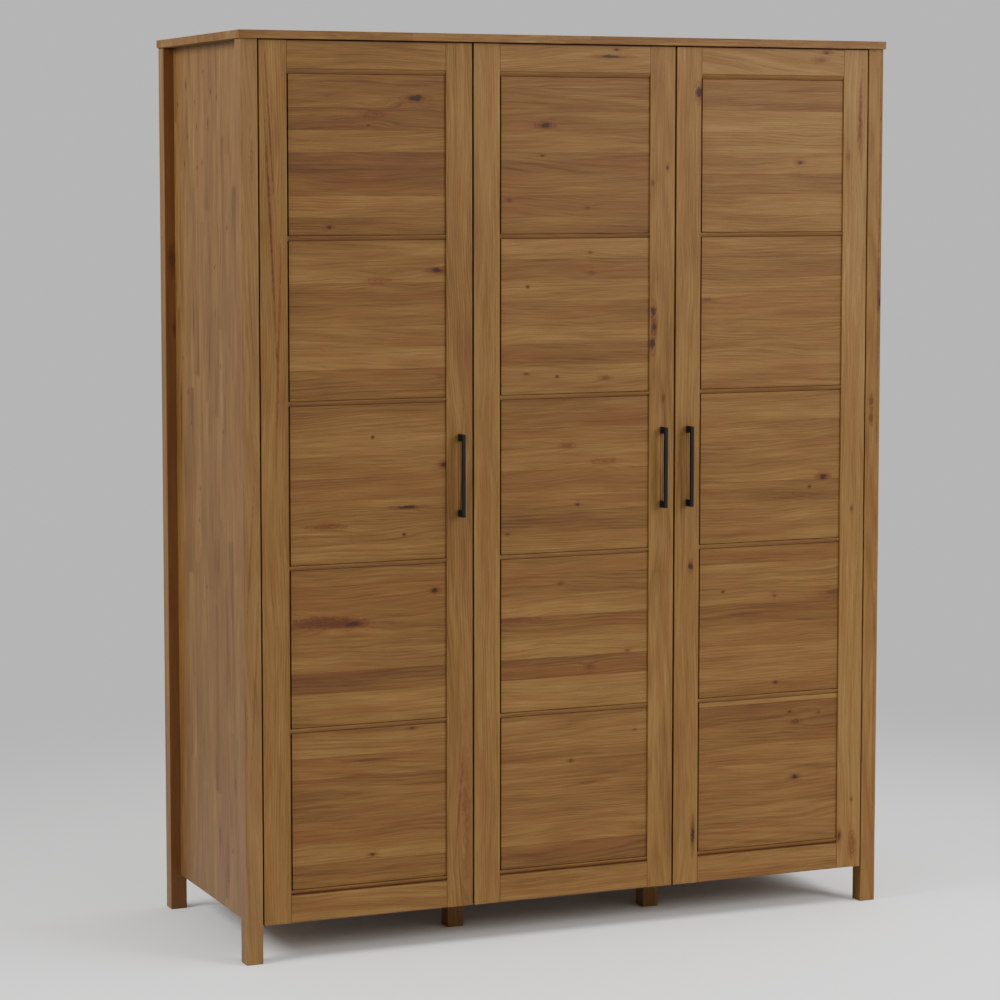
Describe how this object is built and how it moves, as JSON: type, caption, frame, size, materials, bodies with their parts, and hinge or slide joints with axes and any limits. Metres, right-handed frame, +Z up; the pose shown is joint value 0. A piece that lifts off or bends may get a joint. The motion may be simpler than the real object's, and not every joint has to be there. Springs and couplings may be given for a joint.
{
  "type": "wardrobe",
  "caption": "Wardrobe with inset framed doors holding wide boards split by thin bars, square corner posts, recessed side panels and black bar handles.",
  "frame": {"origin": "centre of the bounding box's footprint, on the floor, with the doors closed", "axes": "+Z up; -Y out of the doors, towards a person who stands in front; +X to that person's right"},
  "size_m": [1.556, 0.618, 2],
  "materials": {
    "oak": "oiled knotty oak, satin",
    "oak_boards": "oiled knotty oak, satin, edge-glued boards with horizontal grain",
    "oak_staves": "oiled knotty oak, satin, vertical staves",
    "oak_plywood": "plain oak-faced plywood, matt",
    "black_paint": "matt black powder coat",
    "hinge_steel": "nickel-plated steel",
    "rail_steel": "chromed tube"
  },
  "bodies": {
    "carcass": {"top_panel": "oak", "front_left_post": "oak", "front_right_post": "oak", "back_left_post": "oak", "back_right_post": "oak", "left_side_panel": "oak_staves", "right_side_panel": "oak_staves", "bottom_panel": "oak", "partition": "oak", "middle_legs": "oak", "left_back_panel": "oak_plywood", "right_back_panel": "oak_plywood", "top_front_rail": "oak", "back_rails": "oak", "left_shelves": "oak", "hat_shelf": "oak", "shelf_pins": "hinge_steel", "hanging_rail": "rail_steel", "rail_sockets": "rail_steel", "hinge_plates": "hinge_steel", "hinge_arms": "hinge_steel"},
    "left_door": {"left_door_hinge_stile": "oak", "left_door_lock_stile": "oak", "left_door_top_rail": "oak", "left_door_bottom_rail": "oak", "left_door_board_1": "oak_boards", "left_door_board_2": "oak_boards", "left_door_board_3": "oak_boards", "left_door_board_4": "oak_boards", "left_door_board_5": "oak_boards", "left_door_bars": "oak", "left_door_handle": "black_paint", "left_door_screws": "hinge_steel", "left_door_hinge_cups": "hinge_steel"},
    "middle_door": {"middle_door_hinge_stile": "oak", "middle_door_lock_stile": "oak", "middle_door_top_rail": "oak", "middle_door_bottom_rail": "oak", "middle_door_board_1": "oak_boards", "middle_door_board_2": "oak_boards", "middle_door_board_3": "oak_boards", "middle_door_board_4": "oak_boards", "middle_door_board_5": "oak_boards", "middle_door_bars": "oak", "middle_door_handle": "black_paint", "middle_door_screws": "hinge_steel", "middle_door_hinge_cups": "hinge_steel"},
    "right_door": {"right_door_hinge_stile": "oak", "right_door_lock_stile": "oak", "right_door_top_rail": "oak", "right_door_bottom_rail": "oak", "right_door_board_1": "oak_boards", "right_door_board_2": "oak_boards", "right_door_board_3": "oak_boards", "right_door_board_4": "oak_boards", "right_door_board_5": "oak_boards", "right_door_bars": "oak", "right_door_handle": "black_paint", "right_door_screws": "hinge_steel", "right_door_hinge_cups": "hinge_steel"}
  },
  "joints": [
    {"name": "left_door_hinge", "type": "hinge", "parent": "carcass", "child": "left_door", "pos_m": [-0.7325, -0.283, 0], "axis": [0, 0, -1], "range_deg": [0, 105]},
    {"name": "middle_door_hinge", "type": "hinge", "parent": "carcass", "child": "middle_door", "pos_m": [-0.24283, -0.283, 0], "axis": [0, 0, -1], "range_deg": [0, 105]},
    {"name": "right_door_hinge", "type": "hinge", "parent": "carcass", "child": "right_door", "pos_m": [0.7325, -0.283, 0], "axis": [0, 0, 1], "range_deg": [0, 105]}
  ]
}
